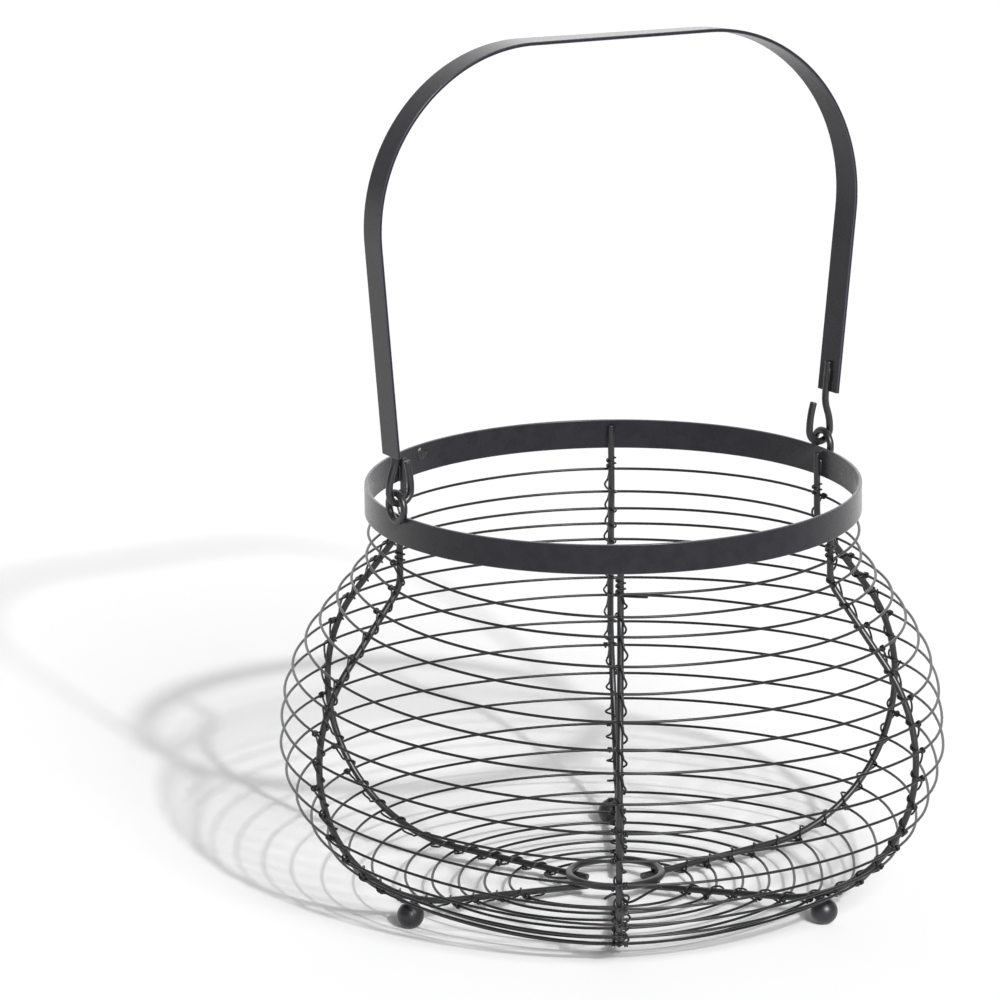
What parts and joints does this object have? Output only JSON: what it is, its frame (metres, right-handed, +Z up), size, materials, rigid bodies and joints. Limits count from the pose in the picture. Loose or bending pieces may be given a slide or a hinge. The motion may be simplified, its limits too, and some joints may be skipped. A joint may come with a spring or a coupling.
{
  "type": "wire egg basket",
  "caption": "Round-bellied wire egg basket of black coated steel, with a flat rim band, bent ribs, a wound hoop wire, ball feet and a swinging strip handle on hooks",
  "frame": {"origin": "on the table under the middle of the basket, at the height of the flats of the three feet", "axes": "+Z up, X along the line that the handle swings about with the lower of the two eyes at +X, Y across the handle"},
  "size_m": [0.2872, 0.2821, 0.3723],
  "materials": {
    "strip_coat": "flat steel strip with a satin black powder coat, a little paler where it catches the light along its edges",
    "wire_coat": "thick round steel wire with a satin black powder coat",
    "thin_wire_coat": "thin round steel wire with a satin black powder coat, dipped together with the frame",
    "ball_coat": "turned steel balls with a satin black powder coat, worn a little on the flats that they stand on"
  },
  "bodies": {
    "basket": {"rim_band": "strip_coat", "rib_1": "wire_coat", "rib_2": "wire_coat", "rib_3": "wire_coat", "rib_4": "wire_coat", "rib_5": "wire_coat", "rib_6": "wire_coat", "hoop_wire_1": "thin_wire_coat", "hoop_wire_2": "thin_wire_coat", "hoop_wire_3": "thin_wire_coat", "hoop_wire_4": "thin_wire_coat", "hoop_wire_5": "thin_wire_coat", "hoop_wire_6": "thin_wire_coat", "hoop_wire_7": "thin_wire_coat", "tie_wire_1": "thin_wire_coat", "tie_wire_2": "thin_wire_coat", "tie_wire_3": "thin_wire_coat", "tie_wire_4": "thin_wire_coat", "tie_wire_5": "thin_wire_coat", "tie_wire_6": "thin_wire_coat", "base_ring": "wire_coat", "foot_1": "ball_coat", "foot_2": "ball_coat", "foot_3": "ball_coat", "eye_right": "wire_coat", "eye_left": "wire_coat"},
    "handle": {"handle_strip": "strip_coat", "hook_right": "wire_coat", "hook_left": "wire_coat"}
  },
  "joints": [
    {"name": "handle_swing", "type": "hinge", "parent": "basket", "child": "handle", "pos_m": [0, 0, 0.18384], "axis": [0.9999, 0, -0.0173], "range_deg": [-90, 90]}
  ]
}
